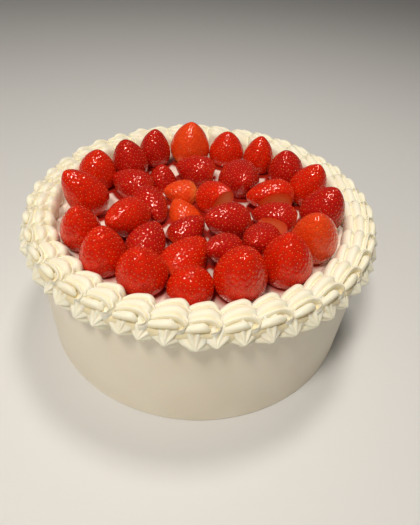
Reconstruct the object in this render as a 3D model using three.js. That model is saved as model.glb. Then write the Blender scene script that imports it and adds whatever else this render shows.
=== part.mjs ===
// A round strawberry cream cake: a cylinder coated in smooth whipped cream, a thick piped border
// of swirls with a row of star kisses on its outer side, and glazed strawberries inside the border.
// Millimetres, +Z up. The origin is the middle of the cake's flat underside.

import * as THREE from 'three';
import { mergeVertices } from 'three/addons/utils/BufferGeometryUtils.js';

// Driving dimensions, in millimetres and degrees.
const CAKE_RADIUS = 111;
const CAKE_HEIGHT = 80;
const CAKE_TOP_ROUND = 3;
const CAKE_FOOT_ROUND = 1.2;
const CAKE_SIDES = 72;
const GAP = 0.3;

// The border's section is measured from a ring that runs through the middle of the piped cream.
const BORDER_RADIUS = 106.5;
const BORDER_LEVEL = 83;
const SWIRL_COUNT = 38;
const SWIRL_FIRST_BEARING = -92;
const SWIRL_SCALLOP = 1.3;
const STAR_COUNT = 57;
const STAR_FIRST_BEARING = -88.6;
const STAR_REACH = 12.4;
const SIDE_SPAN = 4.3;
const ROPE_BEND = 20;
const ROPE_SHEAR = 1.6;

const BERRY_SIDES = 9;
const BERRY_LOBE = 0.03;
const BERRY_SEAT = CAKE_HEIGHT + GAP;

// The ribs of the piped rope, from the inner foot of the border over its top to the outer side:
// [angle round the section, distance from its middle].
const ROPE_RIBS = [
  [-12, 10.6],
  [7, 11.4],
  [27, 9.7],
  [37, 11.2],
  [56, 12.0],
  [77, 10.7],
  [95, 11.7],
  [108, 11.0],
  [116, 8.3],
  [129, 10.1],
  [144, 8.3],
];

// How one swirl rises out of the last one, swells and ends in a shoulder:
// [place along the swirl, change of height, how far its ribs have bent outwards].
const SWIRL_STEPS = [
  [0, -3.4, 0],
  [0.15, -1.6, 0],
  [0.37, 0, 0.1],
  [0.6, 0.7, 0.35],
  [0.8, 0.4, 0.7],
  [0.93, -1.1, 1],
];

// One star kiss, from its upper root through its point to its lower petals:
// [angle round the section, then the distance out at its ridge, its flank and the cleft beside it].
const STAR_ROWS = [
  [158, 9.6, 9.7, 8.6],
  [173, 10.7, 9.4, 8.2],
  [189, STAR_REACH, 10.4, 7.8],
  [205, 11.4, 9.6, 8.0],
  [222, 11.6, 11.4, 9.6],
];

// The outline of a hulled strawberry from its cut stem end to its tip:
// [how far along its length, its radius as a share of half its width].
const BERRY_OUTLINE = [
  [0, 0.58],
  [0.12, 0.87],
  [0.33, 1],
  [0.6, 0.84],
  [0.86, 0.47],
];

// Every strawberry: the middle of its core line, its width and length, how far its tip leans from
// straight up, the bearing that the tip leans to, its ripeness and, on a halved one, the cut face.
const outerBerries = [
  [-76, 25, 94, 27, 28, 10, 5, 'red'],
  [-57, 42, 94.5, 26.5, 29, 8, 200, 'dark'],
  [-40.5, 62.5, 94, 24.5, 29, 4, 5, 'dark'],
  [-13.5, 70.5, 96, 29.5, 33, 4, 350, 'orange'],
  [15.5, 70.5, 93, 26.5, 27.5, 1, 355, 'red'],
  [40.5, 62, 94, 24, 29, 3, 10, 'red'],
  [60, 45, 93.5, 25.5, 27, 9, 190, 'dark'],
  [74, 19, 96, 25, 31, 14, 345, 'red'],
  [79.5, -11, 96.5, 27.5, 32, 15, 335, 'dark'],
  [68, -43, 98, 27.5, 35.5, 18, 245, 'orange'],
  [50.5, -63, 96.5, 28, 34, 4, 228, 'red'],
  [25, -77.5, 97.5, 29.5, 34, 16, 280, 'red'],
  [-1.5, -82.5, 91, 24.5, 23, 6, 268, 'red'],
  [-28.5, -76.5, 94, 27.5, 28, 8, 265, 'red'],
  [-52, -62.5, 94, 26, 30, 2, 325, 'red'],
  [-69.5, -44.5, 95, 24.5, 29.5, 12, 280, 'red'],
  [-77, -10.5, 97.5, 26.5, 34.5, 30, 202, 'red'],
];
const innerBerries = [
  [-51.2, 17, 87.2, 24.2, 29, 74, 161, 'dark'],
  [-33, -9, 86, 24, 31, 88, 302, 'dark'],
  [-31, 31, 84, 21.5, 24.5, 4, 83, 'dark'],
  [-8, 40.5, 88, 23.5, 29.5, 80, 171, 'dark'],
  [-16.5, 12, 85.5, 19, 23, 78, 191, 'orange'],
  [-12, -7.5, 80, 21.5, 26, 44, 138, 'orange'],
  [10, 2, 90.5, 22.5, 28, 58, 324, 'red', { bearing: 296, dip: 5, depth: 7.5 }],
  [26, 28, 89, 30, 36.5, 64, 277, 'dark'],
  [45, 8.5, 90, 23.5, 32.5, 86, 194, 'red', { bearing: 280, dip: 5, depth: 8 }],
  [47, -13.5, 87.5, 22.5, 29.5, 85, 171, 'dark', { bearing: 250, dip: 5, depth: 8 }],
  [36.5, -44.5, 92, 22, 28.5, 61, 244, 'dark'],
  [16, -25, 91, 23.5, 31, 67, 208, 'dark'],
  [-7, -29, 84.5, 20.5, 27, 67, 42, 'dark'],
  [-45.5, -33, 93.5, 25, 32.5, 67, 244, 'red'],
  [-29, -47.5, 90, 22, 26.5, 69, 72, 'dark'],
  [-5.5, -54.5, 84, 25, 34.5, 74, 54, 'red'],
  [14.5, -54.5, 92.5, 19, 27.5, 61, 227, 'dark'],
];

const colours = {
  cream: 0xf0e8d8,
  border: 0xfdf8e4,
  red: 0xc8140c,
  dark: 0x93100f,
  orange: 0xe0401a,
};

const radians = THREE.MathUtils.degToRad;

// A fixed unevenness between -1 and 1 for the item with this number, one for each channel.
function uneven(item, channel) {
  const wave = Math.sin(item * 12.9898 + channel * 78.233) * 43758.5453;
  return 2 * (wave - Math.floor(wave)) - 1;
}

// A point given by its bearing round the cake, its distance from the middle and its height.
function around(bearing, radius, height) {
  const angle = radians(bearing);
  return new THREE.Vector3(radius * Math.cos(angle), radius * Math.sin(angle), height);
}

// A closed ring-shaped skin: rows of points run round the section, columns run round the cake.
function ringSkin(columns, rows, pointAt) {
  const positions = [];
  const faces = [];
  for (let column = 0; column < columns; column += 1) {
    for (let row = 0; row < rows; row += 1) {
      const point = pointAt(column, row);
      positions.push(point.x, point.y, point.z);
      const a = column * rows + row;
      const b = column * rows + (row + 1) % rows;
      const c = ((column + 1) % columns) * rows + row;
      const d = ((column + 1) % columns) * rows + (row + 1) % rows;
      faces.push(a, d, c, a, b, d);
    }
  }
  const geometry = new THREE.BufferGeometry();
  geometry.setAttribute('position', new THREE.Float32BufferAttribute(positions, 3));
  geometry.setIndex(faces);
  return geometry;
}

// A closed solid of revolution about +Z from [radius, height] pairs that run up the outside, with
// nothing but its merged positions kept.
function turned(profile, sides) {
  const points = profile.map(([radius, height]) => new THREE.Vector2(radius, height));
  const geometry = new THREE.LatheGeometry(points, sides).rotateX(Math.PI / 2);
  geometry.deleteAttribute('normal');
  geometry.deleteAttribute('uv');
  return mergeVertices(geometry, 1e-4);
}

// The coated cake: straight sides, a softly rounded top edge and a flat underside.
function cake() {
  const shoulder = CAKE_TOP_ROUND * (1 - Math.SQRT1_2);
  return turned([
    [0, 0],
    [CAKE_RADIUS - CAKE_FOOT_ROUND, 0],
    [CAKE_RADIUS, CAKE_FOOT_ROUND],
    [CAKE_RADIUS, CAKE_HEIGHT - CAKE_TOP_ROUND],
    [CAKE_RADIUS - shoulder, CAKE_HEIGHT - shoulder],
    [CAKE_RADIUS - CAKE_TOP_ROUND, CAKE_HEIGHT],
    [0, CAKE_HEIGHT],
  ], CAKE_SIDES);
}

// A point of the border's section, at this angle over from its inner side.
function sectionPoint(bearing, angle, distance) {
  const turn = radians(angle);
  return around(bearing, BORDER_RADIUS - distance * Math.cos(turn), BORDER_LEVEL + distance * Math.sin(turn));
}

// A point of a swirl. Each swirl starts low, under the shoulder of the one before it, swells, and
// its ribs bend over to the outer side before it ends in a shoulder of its own.
function swirlPoint(column, row) {
  const swirl = Math.floor(column / SWIRL_STEPS.length);
  const [place, lift, bend] = SWIRL_STEPS[column % SWIRL_STEPS.length];
  const [angle, distance] = ROPE_RIBS[row];
  const over = row / (ROPE_RIBS.length - 1);
  const pitch = 360 / SWIRL_COUNT;
  const shear = ROPE_SHEAR * (0.25 - (over - 0.5) ** 2) * 4;
  const bearing = SWIRL_FIRST_BEARING + pitch * (swirl + place + 0.06 * uneven(swirl, 1)) + shear;
  const scallop = SWIRL_SCALLOP * Math.sin(Math.PI * Math.min(1, place / 0.93)) * (1 - over);
  const size = 1 + 0.035 * uneven(swirl, 2);
  const turn = angle + ROPE_BEND * bend * Math.sin(Math.PI * over);
  return sectionPoint(bearing, turn, size * (distance + lift * Math.sin(Math.PI * (0.15 + 0.7 * over))) + scallop);
}

// A point of a star kiss: its point in the middle, a flank on each side and a cleft between stars.
function starPoint(column, row) {
  const star = Math.floor(column / 4);
  const step = column % 4;
  const [angle, ridge, flank, cleft] = STAR_ROWS[row];
  const nearest = step === 3 ? (star + 1) % STAR_COUNT : star;
  const pitch = 360 / STAR_COUNT;
  const bearing = STAR_FIRST_BEARING + pitch * (star + step / 4 + (step === 2 ? 0 : 0.07 * uneven(nearest, 11)));
  const size = step === 2 ? 1 : 1 + 0.05 * uneven(nearest, 12);
  const tilt = step === 2 ? 0 : 4 * uneven(nearest, 13);
  return sectionPoint(bearing, angle + tilt, size * [ridge, flank, cleft, flank][step]);
}

// The border's underside follows the cake's top, edge and side, a hair away from them.
function seatPoint(column, row) {
  const radius = CAKE_RADIUS + GAP;
  const level = CAKE_HEIGHT + GAP;
  const bearing = SWIRL_FIRST_BEARING + 360 * (column + 0.5) / (SWIRL_COUNT * SWIRL_STEPS.length);
  const corner = CAKE_TOP_ROUND / 2;
  return [
    around(bearing, radius, level - SIDE_SPAN),
    around(bearing, radius, level - corner),
    around(bearing, radius - corner, level),
  ][row];
}

// The whole piped border: one ring of cream with its swirls, its star kisses and its seat.
function pipedBorder() {
  const columns = SWIRL_COUNT * SWIRL_STEPS.length;
  const starEnd = ROPE_RIBS.length + STAR_ROWS.length;
  return ringSkin(columns, starEnd + 3, (column, row) => {
    if (row < ROPE_RIBS.length) {
      return swirlPoint(column, row);
    }
    return row < starEnd ? starPoint(column, row - ROPE_RIBS.length) : seatPoint(column, row - starEnd);
  });
}

// Moves every point that lies past a flat back onto it, which cuts a convex solid along the flat.
function pressFlat(geometry, point, outward) {
  const positions = geometry.attributes.position;
  const vertex = new THREE.Vector3();
  for (let index = 0; index < positions.count; index += 1) {
    vertex.fromBufferAttribute(positions, index);
    const past = vertex.clone().sub(point).dot(outward);
    if (past > 0) {
      vertex.addScaledVector(outward, -past);
      positions.setXYZ(index, vertex.x, vertex.y, vertex.z);
    }
  }
}

// One strawberry: a slightly lobed solid of revolution from its cut stem end to its rounded tip,
// turned to its place, with a cut face where it was halved, and seated flat on the cream.
function strawberry(number, [x, y, z, width, length, lean, bearing, , cut]) {
  const corner = width / 2 / Math.sqrt(Math.cos(Math.PI / BERRY_SIDES));
  const profile = BERRY_OUTLINE.map(([along, share]) => [share * corner, (along - 0.5) * length]);
  const geometry = turned([[0, -length / 2], ...profile, [0, length / 2]], BERRY_SIDES);
  const positions = geometry.attributes.position;
  const phase = Math.PI * uneven(number, 21);
  for (let index = 0; index < positions.count; index += 1) {
    const angle = Math.atan2(positions.getY(index), positions.getX(index));
    const lobe = 1 - BERRY_LOBE + BERRY_LOBE * Math.cos(2 * angle + phase);
    positions.setX(index, positions.getX(index) * lobe);
    positions.setY(index, positions.getY(index) * lobe);
  }
  const tip = around(bearing, Math.sin(radians(lean)), Math.cos(radians(lean)));
  geometry.applyQuaternion(new THREE.Quaternion().setFromUnitVectors(new THREE.Vector3(0, 0, 1), tip));
  geometry.translate(x, y, z);
  if (cut) {
    const outward = around(cut.bearing, Math.cos(radians(cut.dip)), -Math.sin(radians(cut.dip)));
    pressFlat(geometry, new THREE.Vector3(x, y, z).addScaledVector(outward, cut.depth), outward);
  }
  pressFlat(geometry, new THREE.Vector3(0, 0, BERRY_SEAT), new THREE.Vector3(0, 0, -1));
  return geometry;
}

const model = new THREE.Group();

function addPart(name, geometry, color, roughness) {
  const mesh = new THREE.Mesh(geometry, new THREE.MeshStandardMaterial({ color, roughness, metalness: 0 }));
  mesh.name = name;
  model.add(mesh);
}

addPart('cake_body', cake(), colours.cream, 0.55);
addPart('piped_border', pipedBorder(), colours.border, 0.45);
[...outerBerries, ...innerBerries].forEach((berry, index) => {
  const name = `strawberry_${String(index + 1).padStart(2, '0')}`;
  addPart(name, strawberry(index + 1, berry), colours[berry[7]], 0.15);
});

export default model;
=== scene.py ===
# %% [markdown]
# # A strawberry cream cake
# The real cake is a tall round sponge, coated in smooth whipped cream. A thick border of cream is
# piped round its top edge, and glazed strawberries stand and lie inside the border.
# The solids give every size and place. The visible pieces here take the place of those solids and
# add what they are too coarse for: soft ribs and dimples, and on top of them seeds and glaze.

import bpy
import numpy as np
from mathutils import Matrix


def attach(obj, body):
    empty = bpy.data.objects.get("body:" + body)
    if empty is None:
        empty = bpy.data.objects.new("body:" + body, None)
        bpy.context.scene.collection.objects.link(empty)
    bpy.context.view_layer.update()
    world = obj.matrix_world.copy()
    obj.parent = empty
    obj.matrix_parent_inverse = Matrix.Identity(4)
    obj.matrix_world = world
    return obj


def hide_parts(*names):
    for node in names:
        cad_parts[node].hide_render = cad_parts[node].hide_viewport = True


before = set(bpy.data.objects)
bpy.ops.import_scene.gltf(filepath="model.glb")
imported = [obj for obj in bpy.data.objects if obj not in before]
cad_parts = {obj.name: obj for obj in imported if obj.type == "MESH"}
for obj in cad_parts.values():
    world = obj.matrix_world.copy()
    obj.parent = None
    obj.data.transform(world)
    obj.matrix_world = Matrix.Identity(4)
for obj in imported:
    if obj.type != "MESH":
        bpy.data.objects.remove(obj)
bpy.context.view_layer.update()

# %% [markdown]
# ## Shared helpers
# Every piece below is worked out as whole numpy arrays, in millimetres, and turned into a mesh in
# metres at the very end. One helper makes closed tubes: rings of points that run along a path,
# with a pole at each end. Another draws a smooth line through a few given places, so that a shape
# can be told by the places that matter and nothing else.

# %% Numbers that look random but are always the same
MM = 0.001


def uneven(item, channel):
    """Unevenness between -1 and 1: twice the fraction left over by a large multiple of a sine, less 1.
    Two shapes that should not go up and down together read different channels."""
    wave = np.sin(np.asarray(item, float) * 12.9898 + channel * 78.233) * 43758.5453
    return 2 * (wave - np.floor(wave)) - 1


print("first few values:", uneven(np.arange(4), 1).round(2))

# %% Smooth lines


def through(places, count):
    """A Catmull-Rom line through the places: each stretch is the cubic that leaves one place and
    reaches the next along the chords of their neighbours. Read at evenly spaced steps."""
    places = np.asarray(places, float)
    ends = 2 * places[0] - places[1], 2 * places[-1] - places[-2]
    padded = np.vstack([ends[0], places, ends[1]])
    along = np.linspace(0, len(places) - 1, count)
    k = np.minimum(along.astype(int), len(places) - 2)
    t = (along - k)[:, None]
    a, b, c, d = padded[k], padded[k + 1], padded[k + 2], padded[k + 3]
    slope = (c - a) * t
    bend = (2 * a - 5 * b + 4 * c - d) * t**2
    twist = (3 * b - a - 3 * c + d) * t**3
    return 0.5 * (2 * b + slope + bend + twist)


print("halfway along a hump:", through([(0, 0), (1, 1), (2, 1), (3, 0)], 5)[2])

# %% Steps, bells and bearings


def ease(value, start, end):
    """A soft step: 0 before start, 1 after end, and three squares less two cubes between."""
    t = np.clip((value - start) / (end - start), 0, 1)
    return t * t * (3 - 2 * t)


def bell(value, middle, width):
    """A bell curve: 1 at its middle, and e to the power of less the square of the widths from it."""
    return np.exp(-(((value - middle) / width) ** 2))


def polar(bearing, radius, height):
    """Points of the cake from a bearing in degrees, a distance from the middle and a height: the
    distance times the bearing's cosine and sine, and the height."""
    turn = np.radians(bearing)
    return np.stack(np.broadcast_arrays(radius * np.cos(turn), radius * np.sin(turn), height), -1)


print("a soft step and a bell, halfway:", ease(0.5, 0.0, 1.0), bell(0.5, 0.0, 1.0).round(2))

# %% Closed tubes: their faces and poles


def tube_faces(rings, sides):
    """Quads between each ring and the next, then a fan of triangles to the pole at each end."""
    ring, side = np.meshgrid(np.arange(rings - 1), np.arange(sides), indexing="ij")
    here = ring * sides + side
    beside = ring * sides + (side + 1) % sides
    quads = np.stack([here, beside, beside + sides, here + sides], -1).reshape(-1, 4)
    side = np.arange(sides)
    after = (side + 1) % sides
    foot = (rings - 1) * sides
    start = np.stack([np.full(sides, rings * sides), after, side], -1)
    end = np.stack([np.full(sides, rings * sides + 1), foot + side, foot + after], -1)
    return quads, np.vstack([start, end])


def halved(quads):
    """Each quad as two triangles."""
    return np.vstack([quads[:, [0, 1, 2]], quads[:, [0, 2, 3]]])


def with_poles(rings):
    """The points of each tube, ring after ring, with the middles of its first and last ring added."""
    copies = len(rings)
    poles = np.stack([rings[:, 0].mean(1), rings[:, -1].mean(1)], 1)
    return np.concatenate([rings.reshape(copies, -1, rings.shape[-1]), poles], 1)


def enclosed(points, faces):
    """Volume inside a closed mesh of triangles: the sum of the tetrahedra from the origin to each."""
    a, b, c = (points[faces[:, k]] for k in range(3))
    return (a * np.cross(b, c)).sum() / 6


print("a tube of 3 rings of 8 points has", [len(faces) for faces in tube_faces(3, 8)], "quads and triangles")

# %% Points and faces into a mesh


def add_object(name, data):
    """Puts a mesh, a lamp or a camera into the scene, as an object at the origin."""
    thing = bpy.data.objects.new(name, data)
    bpy.context.scene.collection.objects.link(thing)
    return thing


def make_mesh(name, points, faces, values):
    """A smooth mesh from points in millimetres. values maps the name of a point attribute to one
    number for each point."""
    mesh = bpy.data.meshes.new(name)
    mesh.from_pydata((points * MM).tolist(), [], faces)
    mesh.polygons.foreach_set("use_smooth", np.ones(len(mesh.polygons), bool))
    for key, numbers in values.items():
        layer = mesh.attributes.new(key, "FLOAT", "POINT")
        layer.data.foreach_set("value", numbers.astype(np.float32))
    mesh.update()
    return add_object(name, mesh)


def make_tubes(name, rings, values=None):
    """One mesh of closed tubes, from copies x rings x sides x 3 points, with outward faces.
    values maps the name of a point attribute to its copies x rings x sides numbers."""
    copies, ring_count, sides, _ = rings.shape
    points = with_poles(rings)
    quads, fans = tube_faces(ring_count, sides)
    whole = np.vstack([halved(quads), fans])
    if enclosed(points[0], whole) < 0:
        quads, fans = quads[:, ::-1], fans[:, ::-1]
    jump = np.arange(copies)[:, None, None] * points.shape[1]
    faces = (quads[None] + jump).reshape(-1, 4).tolist() + (fans[None] + jump).reshape(-1, 3).tolist()
    layers = {key: with_poles(numbers[..., None]).ravel() for key, numbers in (values or {}).items()}
    print(f"{name}: {copies} tubes, {copies * len(whole)} triangles")
    return make_mesh(name, points.reshape(-1, 3), faces, layers)


# %% [markdown]
# ## Cream and glaze as materials
# Whipped cream is never one flat colour: tiny air bubbles and the drag of the nozzle or the
# spatula make it slightly uneven. Where two folds meet it looks warmer, because light bounces
# between them and shade falls there, and that warm shade is painted into the colour. All the
# cake's materials share one node group for fine unevenness, each with its own values, and the
# creams read how much painted shade or glow to show from a number stored in the mesh.

# %% A node group for fine unevenness
BROAD_DETAIL = 0.6
FINE_DETAIL = 2.0


def fine_unevenness():
    """Group: a broad and a fine noise are mixed into a height, and the broad one alone is the mask."""
    group = bpy.data.node_groups.new("fine_unevenness", "ShaderNodeTree")
    for name, value in [("Broad scale", 60.0), ("Fine scale", 700.0), ("Fine share", 0.4)]:
        socket = group.interface.new_socket(name, in_out="INPUT", socket_type="NodeSocketFloat")
        socket.default_value = value
    for name in ["Mask", "Height"]:
        group.interface.new_socket(name, in_out="OUTPUT", socket_type="NodeSocketFloat")
    nodes, links = group.nodes, group.links
    inside = nodes.new("NodeGroupInput")
    outside = nodes.new("NodeGroupOutput")
    place = nodes.new("ShaderNodeTexCoord")
    broad = nodes.new("ShaderNodeTexNoise")
    fine = nodes.new("ShaderNodeTexNoise")
    broad.inputs["Detail"].default_value = BROAD_DETAIL
    fine.inputs["Detail"].default_value = FINE_DETAIL
    both = nodes.new("ShaderNodeMix")
    for noise, scale in [(broad, "Broad scale"), (fine, "Fine scale")]:
        links.new(place.outputs["Object"], noise.inputs["Vector"])
        links.new(inside.outputs[scale], noise.inputs["Scale"])
    links.new(inside.outputs["Fine share"], both.inputs["Factor"])
    links.new(broad.outputs["Fac"], both.inputs["A"])
    links.new(fine.outputs["Fac"], both.inputs["B"])
    links.new(broad.outputs["Fac"], outside.inputs["Mask"])
    links.new(both.outputs["Result"], outside.inputs["Height"])
    return group


unevenness = fine_unevenness()
print("group sockets:", [item.name for item in unevenness.interface.items_tree])

# %% Small helpers for materials
# A Mix node has sockets for each kind of data: these are its factor and those for two colours.
MIX_INPUTS = (0, 6, 7)
MIX_RESULT = 2


def new_material(name):
    """A material with nodes: returns it, its tree and its Principled BSDF."""
    material = bpy.data.materials.new(name)
    material.use_nodes = True
    shader = material.node_tree.nodes["Principled BSDF"]
    return material, material.node_tree, shader


def set_inputs(node, values):
    """Gives the inputs of a node their values, by name."""
    for name, value in values.items():
        node.inputs[name].default_value = value


def stored(tree, name):
    """The output of a number that is stored in the mesh under this name."""
    node = tree.nodes.new("ShaderNodeAttribute")
    node.attribute_name = name
    return node.outputs["Fac"]


def blend(tree, factor, first, second):
    """A colour between two, where the factor goes from 0 to 1. Colours or sockets are taken."""
    node = tree.nodes.new("ShaderNodeMix")
    node.data_type = "RGBA"
    for place, value in zip(MIX_INPUTS, [factor, first, second]):
        if isinstance(value, bpy.types.NodeSocket):
            tree.links.new(value, node.inputs[place])
        else:
            node.inputs[place].default_value = (*value, 1.0)
    return node.outputs[MIX_RESULT]


def ranged(tree, value, low, high, to_low, to_high):
    """Maps a number from one range to another and holds it at the ends."""
    node = tree.nodes.new("ShaderNodeMapRange")
    tree.links.new(value, node.inputs["Value"])
    set_inputs(node, {"From Min": low, "From Max": high, "To Min": to_low, "To Max": to_high})
    return node.outputs["Result"]


print("a mix of colours reads sockets", MIX_INPUTS, "and puts out socket", MIX_RESULT)

# %% Unevenness in a material


def roughen(tree, shader, broad, fine, share, distance, strength, coated=False):
    """Adds the shared unevenness to a shader as a bump, also to its clear coat where asked, and
    returns its mask. broad and fine are the scales of the noises, share is the fine one's part in
    the height, and distance is the bump's height in millimetres."""
    group = tree.nodes.new("ShaderNodeGroup")
    group.node_tree = unevenness
    set_inputs(group, {"Broad scale": broad, "Fine scale": fine, "Fine share": share})
    bump = tree.nodes.new("ShaderNodeBump")
    set_inputs(bump, {"Distance": distance * MM, "Strength": strength})
    tree.links.new(group.outputs["Height"], bump.inputs["Height"])
    tree.links.new(bump.outputs["Normal"], shader.inputs["Normal"])
    if coated:
        tree.links.new(bump.outputs["Normal"], shader.inputs["Coat Normal"])
    return group.outputs["Mask"]


def mottled(tree, mask, light, deep, low=0.35, high=0.65, most=1.0):
    """The light colour, and as much of the deep one as the mask says, up to the most that is allowed."""
    return blend(tree, ranged(tree, mask, low, high, 0.0, most), light, deep)


def vary_roughness(tree, shader, mask, smooth, rough):
    """Lets the mask move the roughness between two values."""
    tree.links.new(ranged(tree, mask, 0.3, 0.7, smooth, rough), shader.inputs["Roughness"])


# %% The two creams
# Of each cream: its light colour, the deeper one of its mottling, and its painted one: a pink glow on the
# coat's top, warm shade in the piped cream's folds.
COAT_COLOURS = [(0.90, 0.82, 0.67), (0.87, 0.785, 0.63), (0.90, 0.74, 0.64)]
PIPED_COLOURS = [(0.955, 0.90, 0.72), (0.94, 0.875, 0.68), (0.86, 0.65, 0.26)]
COAT_GRAIN = {"broad": 30.0, "fine": 500.0, "share": 0.25, "distance": 0.3, "strength": 0.35}
PIPED_GRAIN = {"broad": 90.0, "fine": 900.0, "share": 0.5, "distance": 0.15, "strength": 0.3}
CREAM_SETTINGS = {
    "Subsurface Weight": 0.25,
    "Subsurface Radius": (0.004, 0.003, 0.0018),
    "Subsurface Scale": 1.0,
    "Specular IOR Level": 0.35,
}


def cream_material(name, light, deep, folds, grain):
    """Cream: a light colour, mottled with a deeper one, that turns to a third where the mesh says:
    painted warm shade in the piped folds, a painted pink glow on the coat's top."""
    material, tree, shader = new_material(name)
    mask = roughen(tree, shader, **grain)
    # The third colour is painted light: warm shade in the piped folds, a pink glow on the coat's top.
    colour = blend(tree, stored(tree, "shade_and_glow"), mottled(tree, mask, light, deep), folds)
    tree.links.new(colour, shader.inputs["Base Color"])
    vary_roughness(tree, shader, mask, 0.42, 0.55)
    set_inputs(shader, CREAM_SETTINGS)
    return material


coat_cream = cream_material("spread_cream", *COAT_COLOURS, COAT_GRAIN)
piped_cream = cream_material("piped_cream", *PIPED_COLOURS, PIPED_GRAIN)
print("materials:", coat_cream.name, piped_cream.name)

# %% [markdown]
# ## The coated cake
# A cake is turned while a long spatula is held against its side, so the coat is a figure of
# revolution that is very slightly uneven: a little fuller here and there, with faint upright and
# level marks. The profile runs from the middle of the underside, up the side, over the soft top
# edge and to the middle of the top. Revolving it with numpy gives the whole skin, and the
# unevenness is only ever taken off, so the coat stays inside its solid.

# %% Coat sizes
CAKE_RADIUS = 111.0
CAKE_HEIGHT = 80.0
CAKE_TOP_ROUND = 3.0
CAKE_FOOT_ROUND = 1.2
FIRST_RING = 4.0
MARK_DEPTH = 0.32
# How strong the pink glow painted on the top is.
PAINTED_GLOW = 0.55
print("the cake is", 2 * CAKE_RADIUS, "mm wide and", CAKE_HEIGHT, "mm high")

# %% Coat surface


def coat_profile():
    """Distance and height along the section: straight stretches joined by quarter circles. It starts
    and ends at a small ring, which the tube closes with a fan to its pole."""
    turn = np.radians(np.linspace(0, 90, 9))
    late = 1 - np.sin(turn)
    early = 1 - np.cos(turn)
    foot = np.stack([CAKE_RADIUS - CAKE_FOOT_ROUND * late, CAKE_FOOT_ROUND * early], 1)
    top = np.stack([CAKE_RADIUS - CAKE_TOP_ROUND * early, CAKE_HEIGHT - CAKE_TOP_ROUND * late], 1)
    under = np.stack([np.linspace(FIRST_RING, foot[0, 0], 12), np.zeros(12)], 1)[:-1]
    side_heights = np.linspace(foot[-1, 1], top[0, 1], 46)[1:-1]
    side = np.stack([np.full(44, CAKE_RADIUS), side_heights], 1)
    lid = np.stack([np.linspace(top[-1, 0], FIRST_RING, 40), np.full(40, CAKE_HEIGHT)], 1)[1:]
    return np.vstack([under, foot, side, top, lid])


def coat_marks(bearing, height):
    """Depth of the spatula's marks: a constant, less long waves round the cake and fine level lines,
    which never add up to more than it."""
    turn = np.radians(bearing)
    waves = 0.16 * np.sin(3 * turn + 0.03 * height + 1.0) + 0.1 * np.sin(7 * turn - 0.05 * height)
    lines = 0.035 * np.sin(1.1 * height + 2.0 * np.sin(turn)) + 0.02 * np.sin(2.7 * height + 5 * turn)
    return MARK_DEPTH - waves - lines


def coat_grid(sides=288):
    """The profile revolved: bearings across, profile places along, with the marks taken off the side
    and a shallow spiral ripple off the top. Inside the border the top also gets a painted pink glow."""
    profile = coat_profile()
    bearing = np.arange(sides) * 360 / sides
    radius, height = profile[:, :1], profile[:, 1:]
    on_side = ease(height, 0.5, 4.0) * ease(-height, 1.0 - CAKE_HEIGHT, 4.0 - CAKE_HEIGHT)
    depth = coat_marks(bearing[None], height) * on_side
    on_top = (height > CAKE_HEIGHT - 0.01) * ease(-radius, 5.0 - CAKE_RADIUS, 15.0 - CAKE_RADIUS)
    ripple = 0.25 + 0.25 * np.sin(0.11 * radius + 3 * np.radians(bearing)[None])
    points = polar(bearing[None], radius - depth, height - ripple * on_top)
    return points, on_top * PAINTED_GLOW * np.ones_like(depth)


# The coat's number for its third colour is the pink glow painted on its top.
coat_points, coat_painted_glow = coat_grid()
cake_coat = make_tubes("cake_coat", coat_points[None], {"shade_and_glow": coat_painted_glow[None]})
cake_coat.data.materials.append(coat_cream)
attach(cake_coat, "root")
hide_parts("cake_body")

# %% [markdown]
# ## The piped swirls
# The border is piped with a star nozzle. Each swirl rises from under the last one, swells over
# the edge of the cake and curls outwards into a hook, so the three ribs of the nozzle run along
# it and turn down together at its end. Two rails in plan, one on the side of the cake's middle
# and one under the outer ridge, say where each section starts and ends. The ribbed section is
# stretched between them. A rope swept along one line would cross itself in so tight a curl.

# %% Swirl places
SWIRLS = 38
FIRST_SWIRL = -92.0
SWIRL_PITCH = 360 / SWIRLS
BORDER_LINE = 106.0
BORDER_SEAT = 80.4
SWIRL_SHIFT = 1.1
SWIRL_SAG = 3.4

swirl_rails = [
    # inner rail: along the border, distance from the middle; the same of the outer rail; crest's height
    (-12.4, 103.0, -12.9, 108.0, 84.6),
    (-10.2, 99.8, -10.4, 110.2, 87.8),
    (-6.8, 97.0, -7.4, 109.8, 90.6),
    (-2.4, 95.2, -3.4, 109.2, 92.8),
    (2.6, 94.4, 1.2, 109.0, 94.0),
    (6.8, 94.2, 5.2, 109.2, 94.2),
    (10.0, 96.4, 7.8, 109.9, 93.4),
    (12.0, 100.4, 9.4, 111.0, 92.4),
    (12.8, 105.0, 9.9, 112.4, 91.6),
    (12.2, 109.6, 9.0, 113.2, 90.8),
    (9.8, 113.2, 7.0, 113.0, 89.4),
    (6.2, 113.8, 4.6, 112.0, 87.4),
    (3.0, 112.6, 2.4, 111.0, 85.4),
]
print("one swirl is", round(2 * np.pi * BORDER_LINE / SWIRLS, 1), "mm long")

# %% The nozzle's ribs
swirl_ribs = [
    # place across, from -1 on the inner rail to 1 on the outer one; share of the crest's height
    (-0.84, 0.00),
    (-0.98, 0.28),
    (-1.00, 0.54),
    (-0.92, 0.76),
    (-0.72, 0.90),
    (-0.48, 0.945),
    (-0.33, 0.90),
    (-0.25, 0.83),
    (-0.17, 0.89),
    (0.04, 0.98),
    (0.28, 1.00),
    (0.50, 0.96),
    (0.64, 0.875),
    (0.72, 0.865),
    (0.87, 0.965),
    (0.975, 0.93),
    (1.00, 0.80),
    (0.98, 0.62),
    (0.93, 0.36),
    (0.88, 0.00),
]
# Grooves: place across, width, share of the depth. Notches: distance from the middle, width.
GROOVES = [(-0.25, 0.07, 1.0), (0.67, 0.10, 0.9)]
GROOVE_DEPTH = 1.1
NOTCHES = [(100.2, 1.5), (106.8, 1.4)]
NOTCH_DEPTH = 0.9
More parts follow.
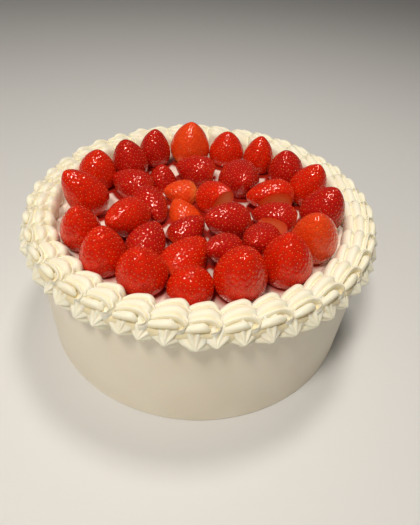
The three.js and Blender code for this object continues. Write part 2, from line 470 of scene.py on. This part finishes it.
# How much warm shade is painted in a groove, and in the hollow under the outer ridge.
GROOVE_SHADE = 0.10
TUCKED_SHADE = 0.35
print(len(GROOVES), "grooves part", len(GROOVES) + 1, "ribs")

# %% Swirl surface


def border_place(bearing, along, distance, height):
    """A point of the border: so many millimetres along it from a bearing, measured on its middle line."""
    return polar(bearing + np.degrees(along / BORDER_LINE), distance, height)


def swirl_section(across):
    """The ribbed section, from its inner foot to its outer one, closed by four places on its base."""
    base = np.stack([np.linspace(0.6, -0.6, 4), np.zeros(4)], 1)
    section = np.vstack([through(swirl_ribs, across), base])
    return section[None, None, :, 0], section[None, None, :, 1]


def swirl_plan(swirl, bearing, rails, half):
    """Along the border and distance of every place: the two rails mixed by the place across, and moved
    by each swirl's own unevenness. Two notches, each a bell curve of the distance, hold the shoulder
    back, most at the sides of the cake, so every rib ends in a tip of its own."""
    along = rails[..., 0] * (1 - half) + rails[..., 2] * half + SWIRL_SHIFT * uneven(swirl, 1)
    distance = rails[..., 1] * (1 - half) + rails[..., 3] * half + 0.6 * uneven(swirl, 3) * (1 - half)
    notch = sum(bell(distance, middle, width) for middle, width in NOTCHES) * ease(along, 3.0, 10.0)
    return along - (0.4 + 3.0 * np.abs(np.cos(np.radians(bearing)))) * notch, distance, notch


def swirl_grid(steps=50, across=46):
    """Every swirl at once: the ribbed section, stretched from the inner to the outer rail, is carried
    along them. Its height is the crest's height times the section's share, less a groove that gets
    deeper towards the shoulder. Behind the berries the swirls start lower, so they stand more apart."""
    rails = through(swirl_rails, steps)[None, :, None, :]
    x, share = swirl_section(across)
    swirl = np.arange(SWIRLS)[:, None, None]
    bearing = FIRST_SWIRL + SWIRL_PITCH * (swirl + 0.5)
    along, distance, notch = swirl_plan(swirl, bearing, rails, (x + 1) / 2)
    place = np.linspace(0, 1, steps)[None, :, None]
    grooves = sum(part * bell(x, middle, width) for middle, width, part in GROOVES) * (share > 0.7)
    behind = 0.5 + 0.5 * np.sin(np.radians(bearing))
    sag = SWIRL_SAG * behind * (1 - ease(place, 0.1, 0.45))
    rise = (rails[..., 4] - sag - BORDER_SEAT) * (1 + 0.05 * uneven(swirl, 2))
    depth = GROOVE_DEPTH * grooves * (0.4 + 1.4 * ease(place, 0.4, 0.8)) + NOTCH_DEPTH * notch
    height = BORDER_SEAT + np.maximum(rise * share - depth, 0)
    # Painted warm shade: in the grooves, and in the hollow under the outer ridge.
    shade_under_ridge = TUCKED_SHADE * (x > 0.8) * np.clip(1 - share, 0, 1) ** 0.7
    shade_and_glow = np.clip(GROOVE_SHADE * grooves + shade_under_ridge, 0, 1) * np.ones_like(height)
    return border_place(bearing, along, distance, height), shade_and_glow


swirl_points, swirl_shade = swirl_grid()
border_swirls = make_tubes("border_swirls", swirl_points, {"shade_and_glow": swirl_shade})

# %% [markdown]
# Inside each hook a strand of the same cream lies low, between the ridge and the stars. It is an
# arched tube with rounded ends, and the teeth of the nozzle leave three soft ridges that twist
# along it.

# %% Strands inside the hooks
strand_path = [
    # along, distance, height of its middle, half width
    (-9.0, 110.6, 86.0, 1.8),
    (-6.6, 111.2, 87.8, 2.0),
    (-3.6, 111.5, 89.2, 2.2),
    (-0.2, 111.5, 90.1, 2.4),
    (3.2, 111.3, 90.2, 2.5),
    (6.2, 111.6, 89.0, 2.4),
]


def strand_grid(steps=26, sides=18):
    """A tube along the strand's path, in the plane of the section: half width times cosine across
    and times sine upwards, with three ridges that twist along it. It moves along the border with its
    swirl, and warm shade is painted on its underside."""
    path = through(strand_path, steps)[None, :, None, :]
    swirl = np.arange(SWIRLS)[:, None, None]
    bearing = FIRST_SWIRL + SWIRL_PITCH * (swirl + 0.5)
    turn = np.radians(np.arange(sides) * 360 / sides)[None, None, :]
    ends = np.sqrt(1 - np.abs(np.linspace(-0.995, 0.995, steps)) ** 3)[None, :, None]
    twist = np.linspace(0, 2.5, steps)[None, :, None] + 3 * uneven(swirl, 6)
    half = path[..., 3] * ends * (1 + 0.16 * np.abs(np.sin(1.5 * turn + twist)) - 0.06)
    along = path[..., 0] * (1 + 0.12 * uneven(swirl, 7)) + SWIRL_SHIFT * uneven(swirl, 1) + 0 * turn
    distance = path[..., 1] + half * np.cos(turn) * 0.9
    height = path[..., 2] + 0.6 * uneven(swirl, 5) + half * np.sin(turn)
    # Painted shade, strongest on the underside of the strand.
    shade_and_glow = np.clip(0.35 - 0.5 * np.sin(turn), 0, 0.7) * np.ones_like(height)
    return border_place(bearing, along, distance, height), shade_and_glow


strand_points, strand_shade = strand_grid()
border_strands = make_tubes("border_strands", strand_points, {"shade_and_glow": strand_shade})

# %% [markdown]
# ## The star kisses
# Under the swirls a row of small stars is piped against the side: press, stop, pull away. Each
# leaves a cone of sharp folds that meet in a point. The folds are the teeth of the nozzle, so
# the section is a wheel of seven lobes with sharp clefts, and it shrinks to nothing at the tip.

# %% Star sizes
STARS = 57
FIRST_STAR = -88.6
STAR_ROOT = (108.2, 85.6)
STAR_TIP = (118.3, 81.2)
STAR_WIDTH = 9.9
STAR_FOLDS = 7
STAR_LINE = 114.0
CLEFT = 0.64
PRESSED = 0.45
# Waves that tell the petals apart: how many go round, how high, how much they turn on the way to the
# tip, and their channel of unevenness.
PETAL_WAVES = [(2, 0.12, 0, 17), (3, 0.08, 0, 18), (5, 0.06, 9, 19)]
print("stars are", round(2 * np.pi * STAR_LINE / STARS, 1), "mm apart")

# %% Star surface


def star_petals(star, turn, place):
    """How far out the section reaches at each turn, about 1: slow waves round it, added up."""
    petals = 1
    for count, size, twist, channel in PETAL_WAVES:
        petals = petals + size * np.sin(count * turn + twist * place + 6 * uneven(star, channel))
    return petals


def star_grid(steps=22, sides=56):
    """Rings along the line from root to tip. Each ring's radius is the root's times one less a power of
    the place along the line. Its lobes rise and fall in straight flanks, sharp on top and between,
    and the upper ones are pressed flatter."""
    star = np.arange(STARS)[:, None, None]
    place = np.linspace(0, 1, steps)[None, :, None]
    left = 1 - place
    turn = (np.arange(sides) * 2 * np.pi / sides)[None, None, :]
    spin = turn * STAR_FOLDS / (2 * np.pi) + 0.5 * uneven(star, 14) + 0.25 * left
    folds = 1 - np.abs(2 * (spin - np.floor(spin)) - 1)
    lobes = CLEFT + (1 - CLEFT) * folds**0.85
    taper = 1 - place ** (2.5 + 0.7 * uneven(star, 15))
    pressed = 1 - PRESSED * np.clip(np.sin(turn), 0, 1)
    swell = 1 + 0.10 * uneven(star, 12)
    radius = STAR_WIDTH * swell * star_petals(star, turn, place) * lobes * taper * pressed
    radius = radius * ease(1.06 - left, 0.0, 0.12) + 0.12
    reach = STAR_TIP[0] - STAR_ROOT[0] + 0.5 * uneven(star, 16) - 0.5
    sink = STAR_TIP[1] - STAR_ROOT[1] + 1.6 * uneven(star, 13)
    along = radius * np.cos(turn) * 0.98 + 1.6 * uneven(star, 11) * (1 - left)
    distance = STAR_ROOT[0] + reach * (1 - left) + 0 * turn
    height = STAR_ROOT[1] + sink * (1 - left) + radius * np.sin(turn)
    bearing = FIRST_STAR + 360 / STARS * star
    # Painted warm shade in the clefts between the lobes, more towards the root.
    shade_and_glow = np.clip(1 - folds * 2.5, 0, 1) * np.clip(left * 1.2, 0, 1) * 0.4
    return border_place(bearing, along, distance, height), shade_and_glow * np.ones_like(height)


star_points, star_shade = star_grid()
border_stars = make_tubes("border_stars", star_points, {"shade_and_glow": star_shade})

# %% [markdown]
# Cream fills every gap under the swirls and the stars. A low ring, a section carried once round
# the cake, stands for it, so that nothing hollow shows from any side. As it lies under the border,
# all of it is painted with warm shade.

# %% The bed under the border
BED_SHADE = 0.45
bed_section = [
    # distance from the middle, height
    (97.6, 80.4),
    (97.4, 82.5),
    (99.5, 85.5),
    (103.0, 87.0),
    (108.0, 88.6),
    (112.4, 87.4),
    (114.2, 83.8),
    (112.6, 78.5),
    (111.2, 77.4),
    (111.1, 79.2),
    (109.2, 80.4),
]


def bed_ring(sides=228):
    """The closed section, revolved: a ring of cream with nothing at its middle."""
    section = through(bed_section + bed_section[:1], 34)[:-1]
    bearing = np.arange(sides)[:, None] * 360 / sides
    return polar(bearing, section[None, :, 0], section[None, :, 1])


def make_ring(name, points, folds):
    """One mesh from rows of points that close in both directions: a quad from each point to the next
    one in its row and in the next row, counted round."""
    rows, sides, _ = points.shape
    row, side = np.meshgrid(np.arange(rows), np.arange(sides), indexing="ij")
    corner = [(row, side), (row + 1, side), (row + 1, side + 1), (row, side + 1)]
    faces = np.stack([(a % rows) * sides + b % sides for a, b in corner], -1).reshape(-1, 4)
    flat = points.reshape(-1, 3)
    if enclosed(flat, halved(faces)) < 0:
        faces = faces[:, ::-1]
    print(f"{name}: {2 * len(faces)} triangles")
    return make_mesh(name, flat, faces.tolist(), {"shade_and_glow": np.full(len(flat), folds)})


# The bed is painted with warm shade all over.
border_bed = make_ring("border_bed", bed_ring(), BED_SHADE)
for piece in [border_swirls, border_strands, border_stars, border_bed]:
    piece.data.materials.append(piped_cream)
    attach(piece, "root")
    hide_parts("piped_border")

# %% [markdown]
# ## The strawberries
# A hulled strawberry is a figure of revolution with a wide shoulder and a blunt tip, a little
# oval in section. Its seeds sit in dimples, one turn of the golden angle after another, which
# is how a plant spaces them. The places and sizes are those of the solids. Each berry is a grid
# of rings from its cut stem end to its tip, with the dimples pressed in along its normals.

# %% Where each strawberry is
berry_rows = [
    # x, y, z of its middle, width, length, lean of its tip, bearing of the tip, ripeness
    (-76, 25, 94, 27, 28, 10, 5, "red"),
    (-57, 42, 94.5, 26.5, 29, 8, 200, "dark"),
    (-40.5, 62.5, 94, 24.5, 29, 4, 5, "dark"),
    (-13.5, 70.5, 96, 29.5, 33, 4, 350, "orange"),
    (15.5, 70.5, 93, 26.5, 27.5, 1, 355, "red"),
    (40.5, 62, 94, 24, 29, 3, 10, "red"),
    (60, 45, 93.5, 25.5, 27, 9, 190, "dark"),
    (74, 19, 96, 25, 31, 14, 345, "red"),
    (79.5, -11, 96.5, 27.5, 32, 15, 335, "dark"),
    (68, -43, 98, 27.5, 35.5, 18, 245, "orange"),
    (50.5, -63, 96.5, 28, 34, 4, 228, "red"),
    (25, -77.5, 97.5, 29.5, 34, 16, 280, "red"),
    (-1.5, -82.5, 91, 24.5, 23, 6, 268, "red"),
    (-28.5, -76.5, 94, 27.5, 28, 8, 265, "red"),
    (-52, -62.5, 94, 26, 30, 2, 325, "red"),
    (-69.5, -44.5, 95, 24.5, 29.5, 12, 280, "red"),
    (-77, -10.5, 97.5, 26.5, 34.5, 30, 202, "red"),
    (-51.2, 17, 87.2, 24.2, 29, 74, 161, "dark"),
    (-33, -9, 86, 24, 31, 88, 302, "dark"),
    (-31, 31, 84, 21.5, 24.5, 4, 83, "dark"),
    (-8, 40.5, 88, 23.5, 29.5, 80, 171, "dark"),
    (-16.5, 12, 85.5, 19, 23, 78, 191, "orange"),
    (-12, -7.5, 80, 21.5, 26, 44, 138, "orange"),
    (10, 2, 90.5, 22.5, 28, 58, 324, "red"),
    (26, 28, 89, 30, 36.5, 64, 277, "dark"),
    (45, 8.5, 90, 23.5, 32.5, 86, 194, "red"),
    (47, -13.5, 87.5, 22.5, 29.5, 85, 171, "dark"),
    (36.5, -44.5, 92, 22, 28.5, 61, 244, "dark"),
    (16, -25, 91, 23.5, 31, 67, 208, "dark"),
    (-7, -29, 84.5, 20.5, 27, 67, 42, "dark"),
    (-45.5, -33, 93.5, 25, 32.5, 67, 244, "red"),
    (-29, -47.5, 90, 22, 26.5, 69, 72, "dark"),
    (-5.5, -54.5, 84, 25, 34.5, 74, 54, "red"),
    (14.5, -54.5, 92.5, 19, 27.5, 61, 227, "dark"),
]
# Of each cut strawberry: the bearing that its face looks to, how far that dips, how far out the face is.
cut_rows = {24: (296, 5, 7.5), 26: (280, 5, 8.0), 27: (250, 5, 8.0)}
print(len(berry_rows), "strawberries,", len(cut_rows), "with a cut face")

# %% The berry's outline and its seeds
STEM_SHARE = 0.58
WIDEST = 0.33
SEED_SPACING = 2.6
GOLDEN_ANGLE = 137.508


def berry_outline(along):
    """Share of the half width: an oval from the cut stem end to the widest place, then a blunter one
    to the tip, the power 0.66 of one less the power 1.7 of the place."""
    before = np.clip((WIDEST - along) / WIDEST, 0, 1)
    past = np.clip((along - WIDEST) / (1 - WIDEST), 0, 1)
    low = np.sqrt(np.clip(1 - (1 - STEM_SHARE**2) * before**2.2, 0, 1))
    high = (1 - past**1.7) ** 0.66
    return np.where(along < WIDEST, low, high)


def seed_spots(width, length):
    """Seed places: along the berry so that each has the same area, and one golden angle after another,
    each moved a little by its own unevenness."""
    along = np.linspace(0.03, 0.995, 200)
    radius = berry_outline(along) * width / 2
    slope = np.hypot(np.gradient(radius), np.gradient(along * length))
    area = np.concatenate([[0], np.cumsum((radius * slope)[1:])]) * 2 * np.pi
    count = int(area[-1] / SEED_SPACING**2)
    order = np.arange(count)
    place = np.interp((order + 0.5) / count * area[-1], area, along)
    place = np.clip(place + 0.22 * SEED_SPACING / length * uneven(order, 31), 0.01, 0.995)
    around = np.maximum(np.interp(place, along, radius), 2)
    return place, np.radians(order * GOLDEN_ANGLE) + 0.3 * SEED_SPACING / around * uneven(order, 32)


print("seeds on a medium berry:", len(seed_spots(26, 29)[0]))

# %% The berry's plain body
OVAL = 0.03


def berry_body(along, turn, width, length, phase):
    """Points and outward normals of the plain berry: the outline revolved, a little wider one way than
    the other. The normals are those of the round berry, from the outline's slope."""
    lobe = 1 + OVAL + OVAL * np.cos(2 * turn + phase)
    radius = berry_outline(along) * width / 2
    upward = (along - 0.5) * length + 0 * turn
    points = np.stack([radius * lobe * np.cos(turn), radius * lobe * np.sin(turn), upward], -1)
    step = 1e-3
    ahead = berry_outline(np.clip(along + step, 0, 1))
    behind = berry_outline(np.clip(along - step, 0, 1))
    wider = (ahead - behind) * width / 4 / step
    around = np.broadcast_arrays(np.cos(turn) * length, np.sin(turn) * length, -wider)
    normals = np.stack(around, -1)
    return points, normals / np.linalg.norm(normals, axis=-1, keepdims=True)


def swollen(along, turn, phase):
    """How far the skin stands off the plain berry: three soft bulges round it, fullest at half its length."""
    return 0.12 * np.sin(3 * turn + phase) * np.sin(np.pi * along)


def lean_matrix(lean, bearing):
    """The shortest turn that takes straight up to the leaning tip: the identity, plus the cross
    product matrix, plus its square over one more than the cosine."""
    tip = polar(bearing, np.sin(np.radians(lean)), np.cos(np.radians(lean)))
    x, y, z = -tip[1], tip[0], 0.0
    cross = np.array([[0, -z, y], [z, 0, -x], [-y, x, 0]])
    return np.eye(3) + cross + cross @ cross / (1 + tip[2])


plain_berry = berry_body(np.linspace(0, 1, 50), 0.0, 26, 29, 0.0)[0]
print("a medium berry is", plain_berry[:, 0].max().round(1), "mm from its axis to its side")

# %% The berry's surface
BERRY_RINGS = 92
BERRY_SIDES = 156
BERRY_SEAT = 80.35
DIMPLE_DEPTH = 0.38
DIMPLE_RADIUS = 0.86
SEED_LIFT = 0.06
CUT_FADE = 5.0
SEED_TO_CUT = 0.4
SEED_TO_SEAT = 0.6


def dimpled(points, seeds):
    """How deep each point lies in a dimple, from 0 to 1: a bell curve of its distance to a seed."""
    flat = points.reshape(-1, 3)
    gap = ((flat[:, None, :] - seeds[None]) ** 2).sum(-1).min(1).reshape(points.shape[:2])
    return np.exp(-gap / DIMPLE_RADIUS**2)


def press_flat(points, at, outward):
    """Moves every point that is past a flat back onto it, and says how far past each one was."""
    past = np.clip((points - at) @ outward, 0, None)
    return points - past[..., None] * outward, past


def cut_face(number, middle):
    """Where a cut strawberry's face is and what it looks to: level at its bearing, but for its dip."""
    toward, dip, depth = cut_rows[number]
    outward = polar(toward, np.cos(np.radians(dip)), -np.sin(np.radians(dip)))
    return middle + outward * depth, outward


def berry_grid(number, row):
    """One strawberry in its place, with its dimples, its flat seat and, if it is a cut one, its face:
    the plain body, moved along its normals, turned, and pressed flat where it is cut or stands."""
    x, y, z, width, length, lean, bearing, _ = row
    middle = np.array([x, y, z])
    turned = lean_matrix(lean, bearing)
    phase = np.pi * float(uneven(number, 21))
    along = (0.5 - 0.5 * np.cos(np.pi * np.linspace(0.0, 0.985, BERRY_RINGS)))[:, None]
    turn = (np.arange(BERRY_SIDES) * 2 * np.pi / BERRY_SIDES)[None]
    points, normals = berry_body(along, turn, width, length, phase)
    place, spin = seed_spots(width, length)
    seeds, out = berry_body(place, spin, width, length, phase)
    dimple = dimpled(points, seeds)
    points = points + normals * (swollen(along, turn, phase) - DIMPLE_DEPTH * dimple)[..., None]
    points = points @ turned.T + middle
    floor_level = swollen(place, spin, phase) - DIMPLE_DEPTH + SEED_LIFT
    seeds = (seeds + out * floor_level[:, None]) @ turned.T + middle
    cut = np.zeros(dimple.shape)
    if number in cut_rows:
        face, outward = cut_face(number, middle)
        points, past = press_flat(points, face, outward)
        cut = np.clip(past / CUT_FADE, 0, 1)
        keep = (seeds - face) @ outward < -SEED_TO_CUT
        seeds, out = seeds[keep], out[keep]
    points, _ = press_flat(points, np.array([0, 0, BERRY_SEAT]), np.array([0, 0, -1.0]))
    lifted = seeds[:, 2] > BERRY_SEAT + SEED_TO_SEAT
    frames = {"at": seeds[lifted], "out": (out @ turned.T)[lifted], "along": turned[:, 2]}
    frames["skin"] = points.reshape(-1, 3)
    return points, {"dimple": dimple, "cut": cut, "along": along * np.ones_like(dimple)}, frames


# %% [markdown]
# ### Glazed strawberry skin
# A clear glaze lies over the whole berry. The flesh under it is deep red and slightly mottled,
# and paler round the cut stem end; the dimples are darkened with painted shade. Light that the
# flesh itself reflects is tinted red, and over it the glaze is a sharp clear coat. Small ripples in
# both break a lamp's reflection into sparkles. The three degrees of ripeness are one recipe with
# three sets of colours.

# %% Berry colours
BERRY_GRAIN = {"broad": 300.0, "fine": 480.0, "share": 0.4, "distance": 0.34, "strength": 1.0, "coated": True}
CUT_RIM = (0.95, 0.09, 0.015)
CUT_MIDDLE = (1.0, 0.30, 0.09)
BERRY_GLAZE = {
    "Coat Weight": 0.6,
    "Coat Roughness": 0.05,
    "Coat IOR": 1.48,
    "Specular IOR Level": 0.5,
    "Specular Tint": (1.0, 0.30, 0.18, 1.0),
    "Subsurface Weight": 0.12,
    "Subsurface Radius": (0.003, 0.0006, 0.0004),
    "Subsurface Scale": 1.0,
}
berry_colours = {
    # flesh, its deeper colour for mottling and for the painted shade in the dimples, its shoulder, and where
    # along it the shoulder ends
    "red": ((0.76, 0.018, 0.002), (0.44, 0.005, 0.001), (0.80, 0.07, 0.02), 0.16),
    "dark": ((0.56, 0.010, 0.005), (0.33, 0.004, 0.003), (0.66, 0.04, 0.012), 0.14),
    "orange": ((0.88, 0.07, 0.008), (0.72, 0.03, 0.005), (0.90, 0.26, 0.05), 0.3),
}
print("degrees of ripeness:", list(berry_colours))

# %% Berry materials


def berry_material(name, flesh, deep, shoulder, shoulder_end):
    """Flesh colour by noise, with painted shade by the dimple number, paler towards the stem end, orange on a
    cut.
    """
    material, tree, shader = new_material(name)
    mask = roughen(tree, shader, **BERRY_GRAIN)
    colour = mottled(tree, mask, flesh, deep, 0.3, 0.7, 0.45)
    base = ranged(tree, stored(tree, "along"), 0.0, shoulder_end, 1.0, 0.0)
    colour = blend(tree, base, colour, shoulder)
    # Painted shade: the dimples are darkened towards the deep colour.
    dimple = ranged(tree, stored(tree, "dimple"), 0.2, 0.9, 0.0, 0.45)
    colour = blend(tree, dimple, colour, deep)
    cut = stored(tree, "cut")
    face = blend(tree, ranged(tree, cut, 0.15, 0.9, 0.0, 1.0), CUT_RIM, CUT_MIDDLE)
    colour = blend(tree, ranged(tree, cut, 0.0, 0.08, 0.0, 1.0), colour, face)
    tree.links.new(colour, shader.inputs["Base Color"])
    vary_roughness(tree, shader, mask, 0.12, 0.22)
    set_inputs(shader, BERRY_GLAZE)
    return material


ripeness = {kind: berry_material(f"berry_{kind}", *colours) for kind, colours in berry_colours.items()}
print("berry materials:", [material.name for material in ripeness.values()])

# %% Make the strawberries
seed_frames = []
for number, row in enumerate(berry_rows, start=1):
    points, values, frames = berry_grid(number, row)
    layers = {key: value[None] for key, value in values.items()}
    berry = make_tubes(f"berry_{number:02d}", points[None], layers)
    berry.data.materials.append(ripeness[row[7]])
    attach(berry, "root")
    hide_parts(f"strawberry_{number:02d}")
    seed_frames.append(frames)

# %% [markdown]
# ### Glaze on the cream
# The glaze runs off the strawberries and lies between them as a thin shiny film. It creeps up
# where a berry stands, and there it is painted dark red: partly the glaze's own red, partly painted
# shade and red light from the berries. Only in the wider chinks does the cream still show. How close
# each place is to a berry comes from a map of the berries' feet, seen from above, softened by a
# bell curve: one where berries cover all, nought far from any.

# %% The berries' feet, seen from above
CELL = 0.5
FIELD = 96.0
FOOT_TOP = 86.0
FOOT_SPREAD = 1.6


def softened_feet(feet):
    """Share of the ground near each cell that is under a berry: the covered cells, convolved with a
    bell curve by multiplying their Fourier transforms."""
    count = int(2 * FIELD / CELL)
    cells = np.floor((feet[:, :2] + FIELD) / CELL).astype(int)
    covered = np.zeros((count, count))
    covered[cells[:, 0], cells[:, 1]] = 1.0
    wave = np.fft.fftfreq(count, CELL) * 2 * np.pi
    curve = np.exp(-(wave[:, None] ** 2 + wave[None] ** 2) * FOOT_SPREAD**2 / 2)
    return np.clip(np.fft.ifft2(np.fft.fft2(covered) * curve).real, 0, 1)


skins = np.vstack([f["skin"] for f in seed_frames])
nearness = softened_feet(skins[skins[:, 2] < FOOT_TOP])
print("share of the top that is near a berry:", round(float((nearness > 0.2).mean()), 2))

# %% Film surface
FILM_RADIUS = 92.0
FILM_RIM = 4.0
FILM_BACK = 79.3
FILM_THICKNESS = 0.15
FILM_CREEP = 1.1
STAIN_AND_SHADE_FADES = (72.0, 82.0)


def film_grid(rings=110, sides=300):
    """A disc with a flat back: bearings across, distances from the middle along. Its height over the
    cream is its thickness, plus the creep times the nearness of a berry, and it thins out to nothing
    at its rim. The dark red, glaze with painted shade, is the nearness too, but fades towards the border."""
    distance = np.linspace(0.5, FILM_RADIUS, rings)[:, None]
    bearing = (np.arange(sides) * 360 / sides)[None]
    flat = polar(bearing, distance, 0.0)
    cell = np.clip(((flat[..., :2] + FIELD) / CELL).astype(int), 0, nearness.shape[0] - 1)
    near = nearness[cell[..., 0], cell[..., 1]]
    rim = ease(-distance, -FILM_RADIUS, FILM_RIM - FILM_RADIUS)
    top = polar(bearing, distance, CAKE_HEIGHT + (FILM_THICKNESS + FILM_CREEP * near) * rim)
    back = polar(bearing, np.array([[FILM_RADIUS - 0.3], [1.0]]), FILM_BACK)
    stain_and_shade = near * rim * (1 - 0.7 * ease(distance, *STAIN_AND_SHADE_FADES))
    return np.concatenate([top, back]), np.concatenate([stain_and_shade, np.zeros((2, sides))])


film_points, film_near = film_grid()
glaze_film = make_tubes("glaze_film", film_points[None], {"near": film_near[None]})

# %% Film material
FILM_GRAIN = {"broad": 120.0, "fine": 700.0, "share": 0.3, "distance": 0.2, "strength": 0.3}
FILM_LIGHT = (0.92, 0.80, 0.68)
FILM_DEEP = (0.89, 0.70, 0.60)
# Dark red near the berries: the glaze's own red, with painted shade and red light from them.
FILM_STAIN_AND_SHADE = (0.42, 0.018, 0.008)
FILM_GLAZE = {"Coat Weight": 0.6, "Coat Roughness": 0.05}


def film_material():
    """The cream's colour seen through clear glaze, and a deep red by the number of the nearness: the glaze's
    own red, with painted shade near the berries.
    """
    material, tree, shader = new_material("glaze_film")
    mask = roughen(tree, shader, **FILM_GRAIN)
    # Painted shade and red glaze near the berries, by the nearness.
    stain_and_shade = ranged(tree, stored(tree, "near"), 0.06, 0.28, 0.0, 1.0)
    colour = blend(tree, stain_and_shade, mottled(tree, mask, FILM_LIGHT, FILM_DEEP), FILM_STAIN_AND_SHADE)
    tree.links.new(colour, shader.inputs["Base Color"])
    vary_roughness(tree, shader, mask, 0.18, 0.3)
    set_inputs(shader, FILM_GLAZE)
    return material


glaze_film.data.materials.append(film_material())
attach(glaze_film, "root")
print("material:", glaze_film.data.materials[0].name)

# %% [markdown]
# ### Seeds
# Each seed is a flat grain, a little over half a millimetre across, that lies in the floor of its
# dimple. At this size five sides are plenty. The seeds of each ripeness are one mesh.

# %% Seed shape
SEED_LENGTH = 1.05
SEED_WIDTH = 0.68
SEED_THICKNESS = 0.4
# Of the two rings of a grain: where each is, in lengths, and half its size, in widths and thicknesses.
RING_PLACES = np.array([-0.28, 0.24])[:, None]
RING_SIZES = np.array([0.42, 0.5])[:, None]


def seed_grid(frames, sides=5):
    """Grains: two rings of five points each, turned so that the long way follows the berry and the
    thin way stands off its skin."""
    at, out = (np.vstack([f[key] for f in frames]) for key in ("at", "out"))
    along = np.vstack([np.tile(f["along"], (len(f["at"]), 1)) for f in frames])
    along = along - (along * out).sum(1, keepdims=True) * out
    along /= np.linalg.norm(along, axis=1, keepdims=True) + 1e-9
    side = np.cross(along, out)
    turn = np.arange(sides) * 2 * np.pi / sides
    long_way = RING_PLACES * SEED_LENGTH
    across = RING_SIZES * SEED_WIDTH * np.cos(turn)[None]
    thick = RING_SIZES * SEED_THICKNESS * np.sin(turn)[None]
    rings = at[:, None, None] + long_way[None, ..., None] * along[:, None, None]
    rings = rings + across[None, ..., None] * side[:, None, None]
    return rings + thick[None, ..., None] * out[:, None, None]


print("seeds in all:", sum(len(f["at"]) for f in seed_frames))

# %% Seed material, and make the seeds
SEED_GRAIN = {"broad": 300.0, "fine": 2500.0, "share": 0.5, "distance": 0.05, "strength": 0.3}
SEED_LIGHT = (0.92, 0.22, 0.035)
SEED_DEEP = (0.82, 0.10, 0.015)
SEED_GLAZE = {"Specular IOR Level": 0.2, "Coat Weight": 0.2, "Coat Roughness": 0.1}


def seed_material():
    """Golden orange by noise, under a weak glaze, because a bright reflection would hide its colour."""
    material, tree, shader = new_material("berry_seed")
    mask = roughen(tree, shader, **SEED_GRAIN)
    tree.links.new(mottled(tree, mask, SEED_LIGHT, SEED_DEEP), shader.inputs["Base Color"])
    vary_roughness(tree, shader, mask, 0.25, 0.4)
    set_inputs(shader, SEED_GLAZE)
    return material


seed_skin = seed_material()
for kind in ripeness:
    chosen = [f for f, row in zip(seed_frames, berry_rows) if row[7] == kind]
    seeds = make_tubes(f"seeds_{kind}", seed_grid(chosen))
    seeds.data.materials.append(seed_skin)
    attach(seeds, "root")

# %% [markdown]
# ## Floor, light and camera
# A plain pale floor runs on far past the picture. Two lamps hang overhead and give the glaze its
# sparkle: the nearer one also throws the border's shadow on the side. A large soft one at the left
# fills that shadow and stays out of the reflections. The camera stands close in front of the cake
# and looks down at it.

# %% Floor
FLOOR_REACH = 4
FLOOR_COLOUR = (0.75, 0.74, 0.72, 1.0)
floor_corners = [(x * FLOOR_REACH, y * FLOOR_REACH, 0) for x, y in [(-1, -1), (1, -1), (1, 1), (-1, 1)]]
floor_mesh = bpy.data.meshes.new("floor")
floor_mesh.from_pydata(floor_corners, [], [(0, 1, 2, 3)])
floor = add_object("floor", floor_mesh)
floor_skin, _, floor_shader = new_material("floor")
set_inputs(floor_shader, {"Base Color": FLOOR_COLOUR, "Roughness": 0.7})
floor_mesh.materials.append(floor_skin)
print("the floor is", 2 * FLOOR_REACH, "m wide")

# %% Lights
LAMP_COLOUR = (1.0, 0.95, 0.88)
LAMP_TARGET = np.array([0, 0, 0.08])
LAMPS = [(-0.22, -0.45, 7.2), (0.10, 0.20, 4.2)]  # x, y, power
LAMP_HEIGHT = 1.1
LAMP_SIZE = 0.2
FILL_PLACE = (-0.5, -0.8, 0.5)
FILL_SIZE = 1.2
FILL_POWER = 2.4


def facing(right, up, away, place):
    """The matrix of an object at a place whose own x, y and z axes point right, up and away."""
    rows = [[right[i], up[i], away[i], place[i]] for i in range(3)]
    return Matrix(rows + [[0, 0, 0, 1]])


def soft_light(name, place, size, power):
    """A square light at a place, turned to look at the cake's top."""
    lamp = bpy.data.lights.new(name, "AREA")
    lamp.size = size
    lamp.energy = power
    lamp.color = LAMP_COLOUR
    light = add_object(name, lamp)
    away = np.array(place, float) - LAMP_TARGET
    away /= np.linalg.norm(away)
    side = np.cross([0, 1, 0], away)
    side /= np.linalg.norm(side)
    light.matrix_world = facing(side, np.cross(away, side), away, place)
    return light


for number, (x, y, power) in enumerate(LAMPS, start=1):
    soft_light(f"overhead_{number}", (x, y, LAMP_HEIGHT), LAMP_SIZE, power)
fill = soft_light("front", FILL_PLACE, FILL_SIZE, FILL_POWER)
fill.visible_glossy = False
print("lights:", [light.name for light in bpy.data.lights])

# %% Soft light from all around
WORLD_COLOUR = (1.0, 0.98, 0.95, 1.0)
WORLD_STRENGTH = 0.08
world = bpy.data.worlds.new("studio")
bpy.context.scene.world = world
world.use_nodes = True
set_inputs(world.node_tree.nodes["Background"], {"Color": WORLD_COLOUR, "Strength": WORLD_STRENGTH})
bpy.context.scene.view_settings.view_transform = "Standard"
print("world:", world.name)

# %% Camera
CAMERA_PLACE = np.array([7.98, -239.80, 246.15])
CAMERA_LOOKS = np.array([0.0, 0.74757, -0.66418])
CAMERA_RIGHT = np.array([0.99796, 0.04240, 0.04772])
CAMERA_LENS = 28.8
SENSOR_WIDTH = 36.0
NEAREST = 0.01
camera_data = bpy.data.cameras.new("camera")
camera_data.lens = CAMERA_LENS
camera_data.sensor_width = SENSOR_WIDTH
camera_data.clip_start = NEAREST
camera = add_object("camera", camera_data)
camera_up = np.cross(CAMERA_RIGHT, CAMERA_LOOKS)
camera.matrix_world = facing(CAMERA_RIGHT, camera_up, -CAMERA_LOOKS, CAMERA_PLACE * MM)
bpy.context.scene.camera = camera
camera_distance = round(float(np.linalg.norm(CAMERA_PLACE)))
print("the camera is", camera_distance, "mm from the middle of the underside")
